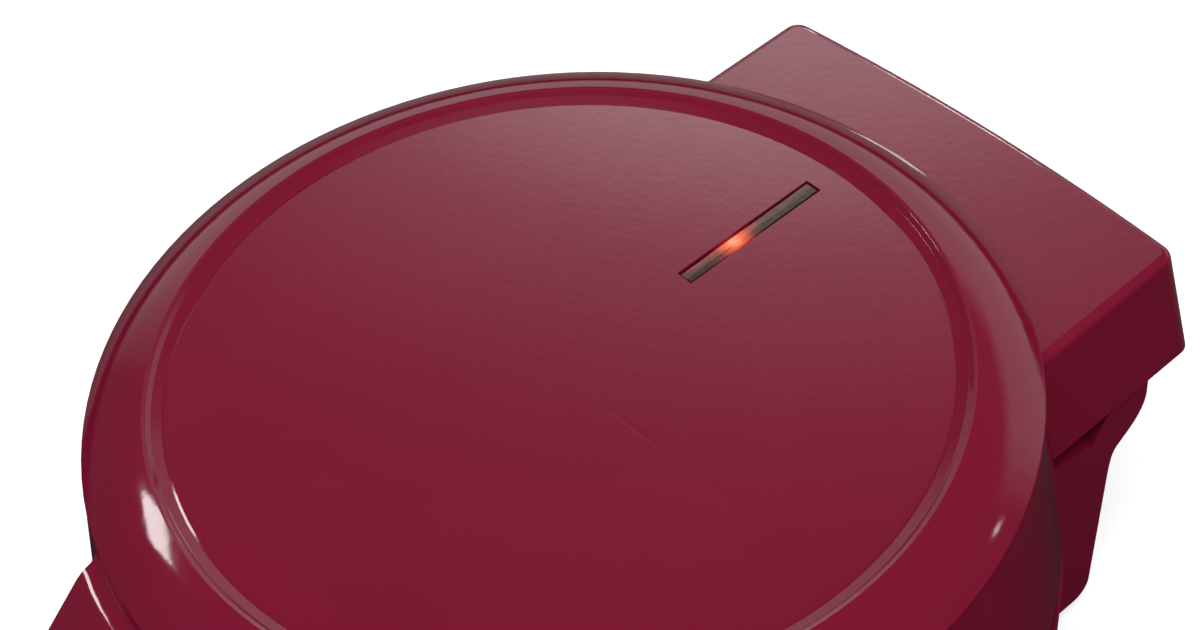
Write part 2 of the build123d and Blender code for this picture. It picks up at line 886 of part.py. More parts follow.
with BuildPart() as base_shell:
    revolve(bowl_side(0, base_floor_z), axis=Axis.Z)
    add(outer_leg)
    add(outer_base_handle)
    revolve(bowl_side(wall, ledge_top_z), axis=Axis.Z, mode=Mode.SUBTRACT)
    add(inner_leg, mode=Mode.SUBTRACT)
    add(inner_base_handle, mode=Mode.SUBTRACT)
    with Locations((0, 0, base_floor_z)):
        Cylinder(cover_radius + slide_gap, cover_thickness, align=lower_seat, mode=Mode.SUBTRACT)
        Cylinder(cover_radius - cover_ledge, base_height, align=lower_seat, mode=Mode.SUBTRACT)
    for x, y in cover_spots:
        add_post(facing_up(x, y, cover_top_z), boss_radius, cover_post_height)
        cut_hole(facing_down(x, y, cover_top_z), pilot_radius, pilot_depth)
    for x, y in leg_boss_spots:
        place = facing_down(x, y, base_carrier_bottom)
        add_post(place, boss_radius, base_carrier_bottom - base_floor_z - wall / 2)
    for x, y in lower_handle_boss_spots:
        add(post_inside(facing_down(x, y, base_carrier_bottom), base_handle_room))
    for x, y in leg_boss_spots + lower_handle_boss_spots:
        cut_hole(facing_up(x, y, base_carrier_bottom), pilot_radius, pilot_depth)
    for x in (-clamp_screw_place, clamp_screw_place):
        low = base_floor_z + wall / 2
        add_post(facing_up(x, clamp_y, low), clamp_post_radius, gland_z - low)
        cut_hole(facing_up(x, clamp_y, gland_z), pilot_radius, pilot_depth)
    for start in (-leg_half_width, lug_inner):
        add(hinge_lug(start))
    for start in (-lug_inner - lug_thickness, lug_inner):
        add(hinge_ear(start))
    for start in knuckle_sides:
        knuckle_bar(
            start - knuckle_side_gap,
            knuckle_width + 2 * knuckle_side_gap,
            knuckle_clear,
            Mode.SUBTRACT,
        )
    knuckle_bar(-lug_bore_end, 2 * lug_bore_end, pin_radius + pin_play, Mode.SUBTRACT)
    with Locations((0, leg_top_reach, leg_top_z)):
        Box(2 * lead_notch_half, 4 * wall, 2 * lead_notch_depth, mode=Mode.SUBTRACT)
    with Locations(gland_plane):
        Cylinder(gland_radius + slide_gap, 4 * wall, mode=Mode.SUBTRACT)
        Cylinder(gland_flange_radius + slide_gap, 2 * wall, align=lower_seat, mode=Mode.SUBTRACT)
    for x in (-rear_foot_x, rear_foot_x):
        with BuildSketch(level(base_floor_z)) as seat:
            with Locations((x, rear_foot_y)):
                SlotOverall(rear_foot_length + 2 * slide_gap, rear_foot_width + 2 * slide_gap)
        extrude(seat.sketch, amount=foot_seat_depth, mode=Mode.SUBTRACT)
save(base_shell.part, "base_shell")


# Upper plate: a round dish with square peaks, a heater ridge and three screw bosses on its back
groove = heater_tube(heater_radius + heater_gap)

peak_field = plate_radius - plate_wall - peak_margin
peak_row = [(i - (peak_count - 1) / 2) * peak_pitch for i in range(peak_count)]
peak_spots = [(x, y) for x in peak_row for y in peak_row if math.hypot(x, y) < peak_field]

with BuildPart() as peaks:
    with BuildSketch(facing_down(0, 0, closing_z + plate_depth)) as field:
        with Locations(*peak_spots):
            Rectangle(peak_side, peak_side)
    extrude(amount=plate_depth - peak_gap / 2, taper=peak_taper)
    with Locations((0, 0, closing_z)):
        Cylinder(peak_field, plate_depth, align=lower_seat, mode=Mode.INTERSECT)

with BuildPart() as upper_plate:
    with BuildSketch(Plane.XZ) as dish:
        with BuildLine():
            Polyline(
                (0, closing_z + plate_depth),
                (plate_radius - plate_wall - plate_floor / 2, closing_z + plate_depth),
                (plate_radius - plate_wall, closing_z + plate_depth - plate_floor / 2),
                (plate_radius - plate_wall, closing_z + plate_gap / 2),
                (plate_radius, closing_z + plate_gap / 2),
                (plate_radius, upper_back_z),
                (0, upper_back_z),
                close=True,
            )
        make_face()
        for corner in (plate_radius - plate_wall, plate_radius):
            fillet(corner_at(dish, corner, closing_z + plate_gap / 2), radius=plate_rim_fillet)
    revolve(axis=Axis.Z)
    add(peaks.part)
    with BuildSketch(level(upper_back_z)) as ridge:
        Circle(heater_ring + heater_ridge)
        Circle(heater_ring - heater_ridge, mode=Mode.SUBTRACT)
    extrude(amount=heater_ridge_height)
    for x, y in plate_boss_spots:
        add_post(facing_up(x, y, upper_back_z), plate_boss_radius, plate_boss_height)
    add(groove, mode=Mode.SUBTRACT)
    for x, y in plate_boss_spots:
        cut_hole(facing_up(x, y, closing_z + boss_top), pilot_radius, plate_boss_height + plate_floor / 2)

# Lower plate: the same casting turned over, with bosses for the thermostat and the fuse clip
lower_boss_spots = [(-strip_screw_place, 0), (strip_screw_place, 0)]

with BuildPart() as lower_plate:
    mirror(upper_plate.part, about=closing_plane)
    for x, y in lower_boss_spots:
        add_post(facing_down(x, y, lower_back_z), strip_boss_radius, thermostat_cup_height)
        cut_hole(facing_down(x, y, strip_top_z), pilot_radius, short_pilot_depth)
    add_post(facing_down(0, clip_screw_y, lower_back_z), strip_boss_radius, clip_boss_height)
    cut_hole(facing_down(0, clip_screw_y, clip_top_z), pilot_radius, short_pilot_depth)
save(upper_plate.part, "upper_plate")
save(lower_plate.part, "lower_plate")

# Heaters, with a terminal pin on each end
with BuildPart() as upper_heater:
    add(heater_tube(heater_radius))
    for x in (-heater_exit, heater_exit):
        add_post(facing_up(x, heater_end_y, heater_end_z), heater_pin_radius, heater_pin_length)
save(upper_heater.part, "upper_heater")

with BuildPart() as lower_heater:
    mirror(upper_heater.part, about=closing_plane)
save(lower_heater.part, "lower_heater")

# Heat shields, pressed sheets that lie on the carriers' arms
shield_z = closing_z + arm_top

with BuildPart() as upper_heat_shield:
    with BuildSketch(level(shield_z)) as sheet:
        Circle(shield_radius)
        Circle(shield_bore, mode=Mode.SUBTRACT)
        with Locations(*plate_boss_spots):
            Circle(shank_hole_radius, mode=Mode.SUBTRACT)
        with Locations((-heater_exit, heater_end_y), (heater_exit, heater_end_y)):
            Rectangle(2 * shield_slot, 4 * shield_slot, mode=Mode.SUBTRACT)
    extrude(amount=shield_thickness)
    with BuildSketch(level(shield_z)) as flange:
        Circle(shield_radius)
        Circle(shield_radius - shield_thickness, mode=Mode.SUBTRACT)
    extrude(amount=shield_flange)
save(upper_heat_shield.part, "upper_heat_shield")

with BuildPart() as lower_heat_shield:
    mirror(upper_heat_shield.part, about=closing_plane)
save(lower_heat_shield.part, "lower_heat_shield")

# Screws that clamp the shields and carriers to the plates
with BuildPart() as upper_plate_screws:
    for x, y in plate_boss_spots:
        add_pan_screw(facing_up(x, y, shield_z + shield_thickness), plate_screw_length)
save(upper_plate_screws.part, "upper_plate_screws")

with BuildPart() as lower_plate_screws:
    mirror(upper_plate_screws.part, about=closing_plane)
save(lower_plate_screws.part, "lower_plate_screws")


def plate_carrier_ring(start):
    """The collar round a plate's back, with three arms that the plate's bosses are screwed to."""
    with BuildPart() as ring:
        with BuildSketch(level(start)) as collar:
            Circle(collar_outer)
            Circle(collar_inner, mode=Mode.SUBTRACT)
        extrude(amount=closing_z + arm_top - start)
        arm_middle = (arm_inner + collar_outer) / 2 - collar_wall / 2
        with BuildSketch(level(closing_z + boss_top)) as arms:
            with PolarLocations(arm_middle, plate_boss_count, plate_boss_turn):
                Rectangle(collar_outer - arm_inner - collar_wall / 2, arm_width)
        extrude(amount=arm_thickness)
        for x, y in plate_boss_spots:
            cut_hole(facing_up(x, y, closing_z + arm_top), shank_hole_radius, 2 * arm_thickness)
    return ring.part


# Lid carrier: closes the lid from below, holds the upper plate and carries the hinge knuckles
lid_ring = plate_carrier_ring(carrier_z)
carrier_inset = wall + fit_gap

with BuildPart() as lid_carrier:
    with BuildSketch(level(carrier_z)) as floor:
        Circle(rim_radius - carrier_inset)
        add(box_plan(carrier_z, carrier_inset).moved(Location((0, 0, -carrier_z))))
        add(
            handle_plan(carrier_z, carrier_inset, rim_radius, handle_reach).moved(
                Location((0, 0, -carrier_z))
            )
        )
        Circle(collar_inner, mode=Mode.SUBTRACT)
    extrude(amount=carrier_thickness)
    add(lid_ring)
    for start in knuckle_sides:
        knuckle_bar(start, knuckle_width, knuckle_radius)
    for x, y in box_boss_spots + handle_boss_spots:
        cut_countersink(facing_down(x, y, carrier_z), carrier_thickness)
    knuckle_bar(-lug_bore_end, 2 * lug_bore_end, pin_radius + pin_play, Mode.SUBTRACT)
    for side in (-1, 1):
        with Locations((side * (lug_inner + lug_thickness / 2), hinge_y, carrier_z)):
            Box(
                lug_thickness + 2 * fit_gap + contact_gap,
                2 * knuckle_clear,
                4 * carrier_thickness,
                mode=Mode.SUBTRACT,
            )
    with Locations((0, hinge_y, carrier_z)):
        Box(2 * sleeve_slot_half, 2 * sleeve_slot_depth, 4 * wall, mode=Mode.SUBTRACT)
save(lid_carrier.part, "lid_carrier")

# Base carrier: closes the base from above and holds the lower plate
with BuildPart() as base_ring:
    mirror(plate_carrier_ring(2 * closing_z - base_carrier_top), about=closing_plane)

with BuildPart() as base_carrier:
    with BuildSketch(level(base_carrier_bottom)) as cover:
        Circle(base_rim_radius - carrier_inset - contact_gap)
        with Locations((0, leg_front)):
            Rectangle(
                2 * base_cover_half,
                base_cover_reach - leg_front,
                align=(Align.CENTER, Align.MIN),
            )
        with Locations((0, leg_front)):
            Rectangle(
                2 * lug_inner - 2 * fit_gap,
                base_cover_tail - leg_front,
                align=(Align.CENTER, Align.MIN),
            )
        add(
            handle_plan(
                base_carrier_bottom,
                carrier_inset,
                bowl_radius(base_carrier_bottom),
                lower_reach,
            ).moved(Location((0, 0, -base_carrier_bottom)))
        )
        Circle(collar_inner, mode=Mode.SUBTRACT)
    extrude(amount=carrier_thickness)
    add(base_ring.part)
    for x, y in leg_boss_spots + lower_handle_boss_spots:
        cut_countersink(facing_up(x, y, base_carrier_top), carrier_thickness)
    knuckle_bar(-lug_inner, 2 * lug_inner, knuckle_clear, Mode.SUBTRACT)
    with Locations((-sleeve_x, base_cover_tail, base_carrier_top)):
        Box(
            2 * (sleeve_radius + sleeve_room),
            2 * (base_cover_tail - sleeve_rise_y + sleeve_radius + sleeve_room),
            4 * wall,
            mode=Mode.SUBTRACT,
        )
save(base_carrier.part, "base_carrier")

# Screws of the carriers and the bottom cover
with BuildPart() as lid_carrier_screws:
    for x, y in box_boss_spots + handle_boss_spots:
        add_flat_screw(facing_down(x, y, carrier_z), screw_length)
save(lid_carrier_screws.part, "lid_carrier_screws")

with BuildPart() as base_carrier_screws:
    for x, y in leg_boss_spots + lower_handle_boss_spots:
        add_flat_screw(facing_up(x, y, base_carrier_top), screw_length)
save(base_carrier_screws.part, "base_carrier_screws")

with BuildPart() as bottom_cover:
    with BuildSketch(level(base_floor_z)) as disc:
        Circle(cover_radius)
        for side in (-1, 1):
            with Locations((side * vent_offset, 0)):
                with GridLocations(0, vent_pitch, 1, vent_count):
                    SlotOverall(vent_length, vent_width, mode=Mode.SUBTRACT)
    extrude(amount=cover_thickness)
    for x, y in cover_spots:
        cut_countersink(facing_down(x, y, base_floor_z), cover_thickness)
    for x in (-front_foot_x, front_foot_x):
        cut_hole(facing_down(x, front_foot_y, base_floor_z), foot_radius + slide_gap, foot_seat_depth)
save(bottom_cover.part, "bottom_cover")

with BuildPart() as bottom_cover_screws:
    for x, y in cover_spots:
        add_flat_screw(facing_down(x, y, base_floor_z), screw_length)
save(bottom_cover_screws.part, "bottom_cover_screws")

# Feet, rubber pads in shallow seats
with BuildPart() as front_feet:
    for x in (-front_foot_x, front_foot_x):
        add_post(facing_up(x, front_foot_y, 0), foot_radius, foot_reach + foot_seat_depth)
    fillet(front_feet.edges().group_by(Axis.Z)[0], radius=foot_seat_depth)
save(front_feet.part, "front_feet")

with BuildPart() as rear_feet:
    with BuildSketch() as pads:
        with Locations((-rear_foot_x, rear_foot_y), (rear_foot_x, rear_foot_y)):
            SlotOverall(rear_foot_length, rear_foot_width)
    extrude(amount=foot_reach + foot_seat_depth)
    fillet(rear_feet.edges().group_by(Axis.Z)[0], radius=foot_seat_depth)
save(rear_feet.part, "rear_feet")

# Hinge pins, pressed into the knuckles and turning in the lugs
with BuildPart() as hinge_pins:
    knuckle_bar(knuckle_inner, pin_length, pin_radius)
    knuckle_bar(-knuckle_inner - pin_length, pin_length, pin_radius)
save(hinge_pins.part, "hinge_pins")

# Indicator: a clear bar in the panel, held from below by a tray with the neon lamp and its resistor
with BuildPart() as light_lens:
    with BuildSketch(level(lens_flange_z)) as flange:
        with Locations((0, lens_centre)):
            Rectangle(lens_width + 2 * lens_flange, lens_length + 2 * lens_flange)
    extrude(amount=lens_flange_thickness)
    with BuildSketch(level(roof_z)) as bar:
        with Locations((0, lens_centre)):
            Rectangle(lens_width, lens_length)
    extrude(amount=lens_top_z - roof_z)
    chamfer(light_lens.faces().sort_by(Axis.Z)[-1].edges(), length=lens_chamfer)
save(light_lens.part, "light_lens")

tray_floor_z = lens_flange_z - tray_depth
lamp_z = lens_flange_z - lamp_drop

with BuildPart() as lamp_tray:
    with BuildSketch(level(tray_floor_z)) as outline:
        with Locations((0, lens_centre)):
            Rectangle(2 * tray_half_width, 2 * tray_half_length)
    extrude(amount=tray_depth)
    with BuildSketch(level(ear_top_z - ear_thickness)) as ears:
        with Locations((0, lens_centre)):
            SlotOverall(2 * ear_reach, 2 * boss_radius, rotation=90)
    extrude(amount=ear_thickness)
    with BuildSketch(level(tray_floor_z + tray_wall)) as pocket:
        with Locations((0, lens_centre)):
            Rectangle(
                2 * (tray_half_width - tray_wall) - 2 * slide_gap,
                2 * (tray_half_length - tray_wall) - 2 * slide_gap,
            )
    extrude(amount=tray_depth, mode=Mode.SUBTRACT)
    for y in lamp_cradles + resistor_cradles:
        with Locations((0, y, tray_floor_z)):
            Box(2 * tray_half_width - tray_wall, tray_wall, cradle_height, align=lower_seat)
    for y in tray_ear_places:
        cut_hole(facing_up(0, y, ear_top_z), shank_hole_radius, 2 * ear_thickness)
save(lamp_tray.part, "lamp_tray")

with BuildPart() as lamp_tray_screws:
    for y in tray_ear_places:
        add_pan_screw(facing_down(0, y, ear_top_z - ear_thickness), ear_thickness + short_screw_length)
save(lamp_tray_screws.part, "lamp_tray_screws")

with BuildPart() as neon_lamp:
    with Locations(Plane(origin=(0, lamp_centre - lamp_length / 2, lamp_z), z_dir=(0, 1, 0))):
        Cylinder(lamp_radius, lamp_length, align=lower_seat)
    fillet(neon_lamp.edges(), radius=lamp_radius / 2)
save(neon_lamp.part, "neon_lamp")

with BuildPart() as lamp_resistor:
    with Locations(Plane(origin=(0, resistor_start, resistor_z), z_dir=(0, 1, 0))):
        Cylinder(resistor_radius, resistor_length, align=lower_seat)
    fillet(lamp_resistor.edges(), radius=resistor_radius / 3)
save(lamp_resistor.part, "lamp_resistor")

# Thermostat: a metal cup against the lower plate, a round body below it and two blades
with BuildPart() as thermostat:
    add_post(facing_down(0, 0, lower_back_z), thermostat_cup_radius, thermostat_cup_height)
    add_post(facing_down(0, 0, strip_top_z), thermostat_radius, thermostat_height)
    for x in (-blade_place, blade_place):
        with Locations((x, 0, blade_top_z)):
            Box(blade_thickness, blade_width, blade_length, align=upper_seat)
save(thermostat.part, "thermostat")

with BuildPart() as thermostat_strip:
    with BuildSketch(level(strip_top_z - strip_thickness)) as strip:
        SlotOverall(2 * strip_half_length, strip_width)
        Circle(thermostat_radius + 3 * slide_gap)
        Circle(thermostat_radius + slide_gap, mode=Mode.SUBTRACT)
        with Locations(*lower_boss_spots):
            Circle(shank_hole_radius, mode=Mode.SUBTRACT)
    extrude(amount=strip_thickness)
save(thermostat_strip.part, "thermostat_strip")

with BuildPart() as thermostat_screws:
    for x, y in lower_boss_spots:
        add_pan_screw(
            facing_down(x, y, strip_top_z - strip_thickness),
            strip_thickness + short_screw_length,
        )
save(thermostat_screws.part, "thermostat_screws")

# Thermal fuse with its leads, and the spring clip that holds it against the lower plate
fuse_z = lower_back_z - fuse_radius - slide_gap / 2
fuse_half = fuse_length / 2

with BuildPart() as thermal_fuse:
    with Locations(Plane(origin=(-fuse_half, fuse_y, fuse_z), z_dir=(1, 0, 0))):
        Cylinder(fuse_radius, fuse_length, align=lower_seat)
    with Locations(Plane(origin=(-fuse_half - fuse_lead_length, fuse_y, fuse_z), z_dir=(1, 0, 0))):
        Cylinder(fuse_lead_radius, fuse_length + 2 * fuse_lead_length, align=lower_seat)
save(thermal_fuse.part, "thermal_fuse")

with BuildPart() as fuse_clip:
    with BuildSketch(level(clip_top_z - clip_thickness)) as clip:
        with Locations((0, (clip_screw_y + fuse_y) / 2)):
            Rectangle(clip_width, fuse_y - clip_screw_y + 2 * strip_boss_radius)
        with Locations((0, clip_screw_y)):
            Circle(shank_hole_radius, mode=Mode.SUBTRACT)
    extrude(amount=clip_thickness)
save(fuse_clip.part, "fuse_clip")

with BuildPart() as fuse_clip_screw:
    add_pan_screw(
        facing_down(0, clip_screw_y, clip_top_z - clip_thickness),
        clip_thickness + short_screw_length,
    )
save(fuse_clip_screw.part, "fuse_clip_screw")

# Cord gland in the leg's rear wall, and the clamp bar behind it
with BuildPart() as cord_gland:
    with Locations(gland_plane):
        Cylinder(gland_flange_radius, gland_flange, align=lower_seat)
        Cylinder(gland_radius, gland_body, align=upper_seat)
        Cylinder(gland_bore, 2 * gland_flange, align=lower_seat, mode=Mode.SUBTRACT)
        Cylinder(gland_bore, gland_body, align=upper_seat, mode=Mode.SUBTRACT)
save(cord_gland.part, "cord_gland")

with BuildPart() as cord_clamp:
    with Locations((0, clamp_y, gland_z)):
        Box(clamp_width, clamp_depth, clamp_height, align=lower_seat)
    with Locations(Plane(origin=(0, clamp_y - clamp_depth, gland_z), z_dir=(0, 1, 0))):
        Cylinder(gland_bore, 2 * clamp_depth, align=lower_seat, mode=Mode.SUBTRACT)
    for x in (-clamp_screw_place, clamp_screw_place):
        cut_hole(facing_up(x, clamp_y, gland_z + clamp_height), shank_hole_radius, clamp_height)
save(cord_clamp.part, "cord_clamp")

with BuildPart() as cord_clamp_screws:
    for x in (-clamp_screw_place, clamp_screw_place):
        add_pan_screw(
            facing_up(x, clamp_y, gland_z + clamp_height),
            clamp_height + screw_length,
        )
save(cord_clamp_screws.part, "cord_clamp_screws")

# Crimped connectors where the supply would join the inner leads
with BuildPart() as crimp_connectors:
    for x in (-crimp_x, crimp_x):
        with Locations(Plane(origin=(x, crimp_y, crimp_z), z_dir=(0, 1, 0))):
            Cylinder(crimp_radius, crimp_length, align=lower_seat)
    chamfer(crimp_connectors.edges(), length=crimp_radius / 4)
save(crimp_connectors.part, "crimp_connectors")

# Leads inside the base, each from terminal to terminal
pin_bottom_z = 2 * closing_z - heater_end_z - heater_pin_length
terminal_z = pin_bottom_z - terminal_drop
blade_z = blade_top_z - blade_length
fuse_end = fuse_half + fuse_lead_length
live_route = [
    (-crimp_x, crimp_y, crimp_z),
    (-crimp_x, crimp_y - live_turn, crimp_z),
    (-lead_aside, live_side_y, lead_low_z),
    (-lead_aside, fuse_y, lead_low_z),
    (-lead_aside, fuse_y, fuse_z),
    (-fuse_end, fuse_y, fuse_z),
]
fuse_route = [
    (fuse_end, fuse_y, fuse_z),
    (lead_aside, fuse_y, fuse_z),
    (lead_aside, fuse_y, blade_z - blade_drop),
    (blade_place, 0, blade_z - blade_drop),
    (blade_place, 0, blade_z),
]
switched_route = [
    (-blade_place, 0, blade_z),
    (-blade_place, 0, terminal_z),
    (-heater_exit, heater_end_y, terminal_z),
    (-heater_exit, heater_end_y, pin_bottom_z),
]
neutral_route = [
    (crimp_x, crimp_y, crimp_z),
    (crimp_x, crimp_y - neutral_turn, crimp_z),
    (heater_exit, neutral_side_y, terminal_z),
    (heater_exit, heater_end_y, terminal_z),
    (heater_exit, heater_end_y, pin_bottom_z),
]

with BuildPart() as base_leads:
    for route in (live_route, fuse_route, switched_route, neutral_route):
        add_lead(route, lead_radius, lead_bend)
save(base_leads.part, "base_leads")

# The sleeved lead crosses from base to lid on the hinge's axis, where its two halves meet
with BuildPart() as base_hinge_lead:
    add_lead(
        [
            (0, crimp_y, crimp_z),
            (0, crimp_y + crimp_length, crimp_z),
            (-sleeve_x, sleeve_rise_y, hinge_z - sleeve_rise_low),
            (-sleeve_x, sleeve_rise_y, hinge_z - sleeve_rise_high),
            (-sleeve_x, hinge_y, hinge_z),
            (0, hinge_y, hinge_z),
        ],
        sleeve_radius,
        sleeve_base_bend,
    )
save(base_hinge_lead.part, "base_hinge_lead")

over_collar_z = closing_z + arm_top + sleeve_radius + sleeve_lift
over_shield_z = over_collar_z + sleeve_step
core_top_z = heater_end_z + heater_pin_length + core_rise

with BuildPart() as lid_hinge_lead:
    add_lead(
        [
            (0, hinge_y, hinge_z),
            (sleeve_x, hinge_y, hinge_z),
            (sleeve_x, hinge_y, hinge_z + sleeve_box_rise),
            (sleeve_x, hinge_y - sleeve_turn_inset, over_collar_z),
            (sleeve_x, collar_inner + sleeve_over_margin, over_collar_z),
            (sleeve_x, collar_inner - sleeve_step_margin, over_shield_z),
            (sleeve_x, core_start_y, over_shield_z),
        ],
        sleeve_radius,
        sleeve_lid_bend,
    )
save(lid_hinge_lead.part, "lid_hinge_lead")

with BuildPart() as lid_leads:
    add_lead(
        [
            (sleeve_x + core_offset, core_start_y, over_shield_z),
            (sleeve_x + core_offset, core_turn_y, over_shield_z),
            (heater_exit, core_turn_y, over_shield_z + core_climb),
            (heater_exit, core_turn_y, core_top_z),
            (heater_exit, heater_end_y, core_top_z),
            (heater_exit, heater_end_y, heater_end_z + heater_pin_length),
        ],
        core_radius,
        core_bend,
    )
    add_lead(
        [
            (sleeve_x - core_offset, core_start_y, over_shield_z),
            (sleeve_x - core_offset, core_turn_y, over_shield_z),
            (-heater_exit, core_turn_y, over_shield_z - core_dip),
            (-heater_exit, core_turn_y, core_top_z),
            (-heater_exit, heater_end_y, core_top_z),
            (-heater_exit, heater_end_y, heater_end_z + heater_pin_length),
        ],
        core_radius,
        core_bend,
    )
save(lid_leads.part, "lid_leads")
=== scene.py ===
import bpy
import json
import math
from mathutils import Matrix, Vector


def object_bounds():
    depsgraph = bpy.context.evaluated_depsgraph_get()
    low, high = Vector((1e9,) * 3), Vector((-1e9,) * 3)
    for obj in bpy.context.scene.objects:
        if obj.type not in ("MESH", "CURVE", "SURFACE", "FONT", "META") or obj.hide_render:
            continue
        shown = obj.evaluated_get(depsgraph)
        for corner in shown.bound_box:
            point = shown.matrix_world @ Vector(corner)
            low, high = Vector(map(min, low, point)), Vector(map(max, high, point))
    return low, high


# A mini waffle maker in glossy burgundy plastic on a white studio floor. Lengths are in metres.
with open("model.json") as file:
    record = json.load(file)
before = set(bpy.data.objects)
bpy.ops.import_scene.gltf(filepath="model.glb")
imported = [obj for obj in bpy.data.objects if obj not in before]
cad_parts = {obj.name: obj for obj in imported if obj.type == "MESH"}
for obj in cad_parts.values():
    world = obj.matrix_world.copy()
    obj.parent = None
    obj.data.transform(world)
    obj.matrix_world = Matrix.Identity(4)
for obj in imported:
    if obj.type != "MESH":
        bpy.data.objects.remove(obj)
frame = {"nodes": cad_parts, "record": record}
cad_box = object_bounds()
nodes = frame["nodes"]
MM = 0.001

# The photograph's camera, placed round the middle of the lid's top
lid_centre = Vector((0, 0, cad_box[1][2]))
camera_distance = 371.5 * MM
camera_azimuth = math.radians(52.86)
camera_elevation = math.radians(46.81)
camera_yaw = math.radians(0.95)
camera_pitch = math.radians(-0.88)
camera_roll = math.radians(7.02)
sensor_width = 36.0
photo_width = 1200
focal_pixels = 2969.3

# Colours, linear
burgundy = (0.225, 0.0065, 0.033)
burgundy_deep = (0.200, 0.0050, 0.028)
soot = (0.018, 0.018, 0.019)
rubber_black = (0.022, 0.022, 0.023)

# The lamp's glow, painted into the lens as emission, and the studio's glow behind the lid
lamp_middle = (-0.5 * MM, 31.4 * MM, 74.9 * MM)
glow_reach = 5.5 * MM
glow_way = (225, 30)
backdrop_way = (212, 0)
room_peak = 3.0


def direction(azimuth, elevation):
    """The direction towards a place seen from the object, in degrees; azimuth 0 is -Y, 90 is +X."""
    a, e = math.radians(azimuth), math.radians(elevation)
    return Vector((math.sin(a) * math.cos(e), -math.cos(a) * math.cos(e), math.sin(e)))


def make_camera():
    """The photograph's viewpoint, with its small turn off the lid's centre."""
    a, e = camera_azimuth, camera_elevation
    back = Vector((math.sin(a) * math.cos(e), -math.cos(a) * math.cos(e), math.sin(e)))
    right = Vector((math.cos(a), math.sin(a), 0))
    up = back.cross(right)
    looking = Matrix((right, up, back))
    turn = Matrix.Rotation(camera_roll, 3, "Z") @ Matrix.Rotation(camera_pitch, 3, "X")
    view = turn @ Matrix.Rotation(camera_yaw, 3, "Y") @ looking
    data = bpy.data.cameras.new("camera")
    data.sensor_width = sensor_width
    data.lens = focal_pixels * sensor_width / photo_width
    data.clip_start = 0.01
    data.clip_end = 20
    camera = bpy.data.objects.new("camera", data)
    bpy.context.scene.collection.objects.link(camera)
    place = Matrix.Translation(lid_centre + back * camera_distance)
    camera.matrix_world = place @ view.transposed().to_4x4()
    bpy.context.scene.camera = camera


class Tree:
    """A short way to write a node tree."""

    def __init__(self, holder):
        holder.use_nodes = True
        self.tree = holder.node_tree
        self.tree.nodes.clear()

    def add(self, kind, **values):
        """A node. Values are its properties, or its inputs where the name is an input's."""
        node = self.tree.nodes.new(kind)
        for key, value in values.items():
            name = key.replace("_", " ")
            socket = next((s for s in node.inputs if s.name.lower() == name), None)
            if socket is None:
                setattr(node, key, value)
            else:
                socket.default_value = value
        return node

    def link(self, source, target):
        self.tree.links.new(source, target)


def object_place(t):
    """The surface's own place in the part's frame, in metres."""
    return t.add("ShaderNodeTexCoord").outputs["Object"]


def noise(t, place, scale, detail=3.0, roughness=0.5):
    """Fractal noise over the surface."""
    node = t.add("ShaderNodeTexNoise", scale=scale, detail=detail, roughness=roughness)
    t.link(place, node.inputs["Vector"])
    return node.outputs["Fac"]


def ramp(t, fac, stops):
    """A colour ramp with the given stops, each a position and a grey or a colour."""
    node = t.add("ShaderNodeValToRGB")
    band = node.color_ramp
    while len(band.elements) < len(stops):
        band.elements.new(0.5)
    for element, (position, colour) in zip(band.elements, stops):
        element.position = position
        grey = isinstance(colour, (int, float))
        element.color = (colour, colour, colour, 1) if grey else (*colour, 1)
    t.link(fac, node.inputs["Fac"])
    return node.outputs["Color"]


def bump(t, height, strength, distance):
    """A bump from a height."""
    node = t.add("ShaderNodeBump", strength=strength, distance=distance)
    t.link(height, node.inputs["Height"])
    return node.outputs["Normal"]


def product(t, first, second):
    """Two colours multiplied."""
    node = t.add("ShaderNodeVectorMath", operation="MULTIPLY")
    t.link(first, node.inputs[0])
    t.link(second, node.inputs[1])
    return node.outputs[0]


def surface(name, **values):
    """A material with one Principled shader whose constant inputs are set on its own sockets."""
    material = bpy.data.materials.new(name)
    t = Tree(material)
    shader = t.add("ShaderNodeBsdfPrincipled")
    for key, value in values.items():
        shader.inputs[key].default_value = value
    out = t.add("ShaderNodeOutputMaterial")
    t.link(shader.outputs[0], out.inputs["Surface"])
    return material, t, shader


def gloss_plastic(name, light, dark):
    """Deep moulded plastic: slight flow marks in its colour, an uneven haze and faint orange peel."""
    material, t, shader = surface(name, **{"IOR": 1.5})
    place = object_place(t)
    colour = ramp(t, noise(t, place, 22.0, 4.0), [(0.3, dark), (0.7, light)])
    t.link(colour, shader.inputs["Base Color"])
    haze = ramp(t, noise(t, place, 160.0, 5.0, 0.6), [(0.35, 0.06), (0.75, 0.10)])
    t.link(haze, shader.inputs["Roughness"])
    peel = bump(t, noise(t, place, 900.0, 2.0), 0.03, 0.0002)
    t.link(peel, shader.inputs["Normal"])
    return material


def satin_plastic(name, colour, worn):
    """Black moulded plastic with a fine spark texture."""
    material, t, shader = surface(name, **{"IOR": 1.48})
    place = object_place(t)
    t.link(ramp(t, noise(t, place, 60.0), [(0.3, colour), (0.75, worn)]), shader.inputs["Base Color"])
    t.link(ramp(t, noise(t, place, 1500.0), [(0.3, 0.42), (0.7, 0.6)]), shader.inputs["Roughness"])
    t.link(bump(t, noise(t, place, 2600.0, 2.0), 0.35, 0.0001), shader.inputs["Normal"])
    return material


